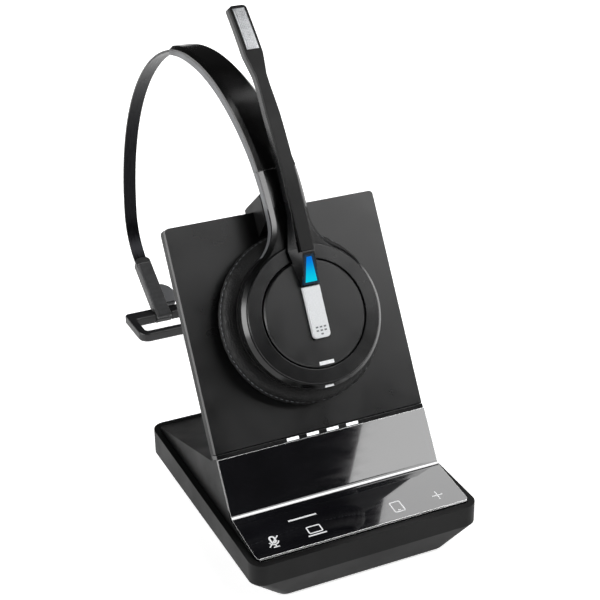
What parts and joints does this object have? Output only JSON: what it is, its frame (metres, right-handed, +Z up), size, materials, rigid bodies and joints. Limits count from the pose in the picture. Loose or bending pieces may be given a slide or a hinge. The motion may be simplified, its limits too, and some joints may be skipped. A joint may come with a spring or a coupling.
{
  "type": "office headset",
  "caption": "Cordless single-ear office headset with headband, turning microphone boom and temple rest, held by magnets on a leaning charging dock with a touch panel.",
  "frame": {"origin": "centre of the dock's underside, on the desk", "axes": "+Z up, +Y towards the back of the dock, +X to the dock's right as seen from the front"},
  "size_m": [0.078, 0.2191, 0.16],
  "materials": {
    "black_plastic": "fine texture",
    "plate_plastic": "satin",
    "dark_plastic": "satin",
    "grey_plastic": "satin",
    "gloss_black": "polished",
    "light_button": "satin",
    "white_mark": "satin",
    "clear_light": "milky",
    "blue_light": "milky",
    "leatherette": "grained",
    "soft_rubber": "matte",
    "spring_steel": "brushed",
    "plain_steel": "plain",
    "mesh_metal": "bright mesh",
    "contact_metal": "plated",
    "circuit": "lacquered",
    "cell_wrap": "foil"
  },
  "bodies": {
    "dock": {"base_tray": "black_plastic", "base_mat": "soft_rubber", "base_screws": "plain_steel", "ballast_plate": "plain_steel", "main_board": "circuit", "power_inlet": "black_plastic", "usb_sockets": "plain_steel", "line_sockets": "black_plastic", "ringer_speaker": "dark_plastic", "top_housing": "black_plastic", "gloss_panel": "gloss_black", "touch_board": "circuit", "led_strip": "dark_plastic", "led_windows": "clear_light", "led_board": "circuit", "back_plate": "plate_plastic", "plate_rear_shell": "plate_plastic", "holding_magnets": "plain_steel", "antenna_board": "circuit", "charging_block": "black_plastic", "pin_board": "circuit", "pin_springs": "plain_steel"},
    "charge_pins": {"charge_pins": "contact_metal"},
    "headset": {"ear_housing": "black_plastic", "ear_ring": "dark_plastic", "cup_back": "black_plastic", "cup_screws": "plain_steel", "arm_back_cover": "grey_plastic", "battery": "cell_wrap", "contact_pads": "contact_metal", "catch_ring": "plain_steel", "ear_board": "circuit", "speaker_driver": "dark_plastic", "speaker_grille": "dark_plastic", "ear_cushion": "leatherette", "rim_mark": "white_mark", "headband_cover": "black_plastic", "headband_liner": "grey_plastic", "steel_band": "spring_steel"},
    "boom": {"pivot_disc": "plate_plastic", "disc_mark": "white_mark", "button_switch": "dark_plastic", "pivot_hub": "black_plastic", "pivot_clip": "plain_steel", "boom_back": "grey_plastic", "boom_front": "black_plastic", "mic_grille": "mesh_metal", "mic_capsules": "plain_steel", "boom_flex": "circuit", "light_frame": "dark_plastic", "status_light": "blue_light"},
    "call_button": {"call_button": "light_button"},
    "temple_slider": {"temple_sleeve": "black_plastic", "temple_pad": "soft_rubber", "detent_spring": "spring_steel", "temple_pin": "plain_steel", "slider_tab": "grey_plastic"},
    "temple_frame": {"temple_frame": "grey_plastic"}
  },
  "joints": [
    {"name": "headset_lift", "type": "slide", "parent": "dock", "child": "headset", "axis": [0, -0.866, 0.5], "range_m": [0, 0.05]},
    {"name": "boom_turn", "type": "hinge", "parent": "headset", "child": "boom", "pos_m": [0, -0.00441, 0.07416], "axis": [0, -0.866, 0.5], "range_deg": [-130, 130]},
    {"name": "button_press", "type": "slide", "parent": "boom", "child": "call_button", "axis": [0, 0.866, -0.5], "range_m": [0, 0.0004], "stiffness_N_per_m": 500},
    {"name": "pin_press", "type": "slide", "parent": "dock", "child": "charge_pins", "axis": [0, 0.866, -0.5], "range_m": [0, 0.0008], "stiffness_N_per_m": 300},
    {"name": "temple_length", "type": "slide", "parent": "headset", "child": "temple_slider", "axis": [0, -0.8387, -0.5446], "range_m": [0, 0.008]},
    {"name": "temple_tilt", "type": "hinge", "parent": "temple_slider", "child": "temple_frame", "pos_m": [0, 0.14111, 0.00992], "axis": [-1, 0, 0], "range_deg": [-12, 25]}
  ]
}
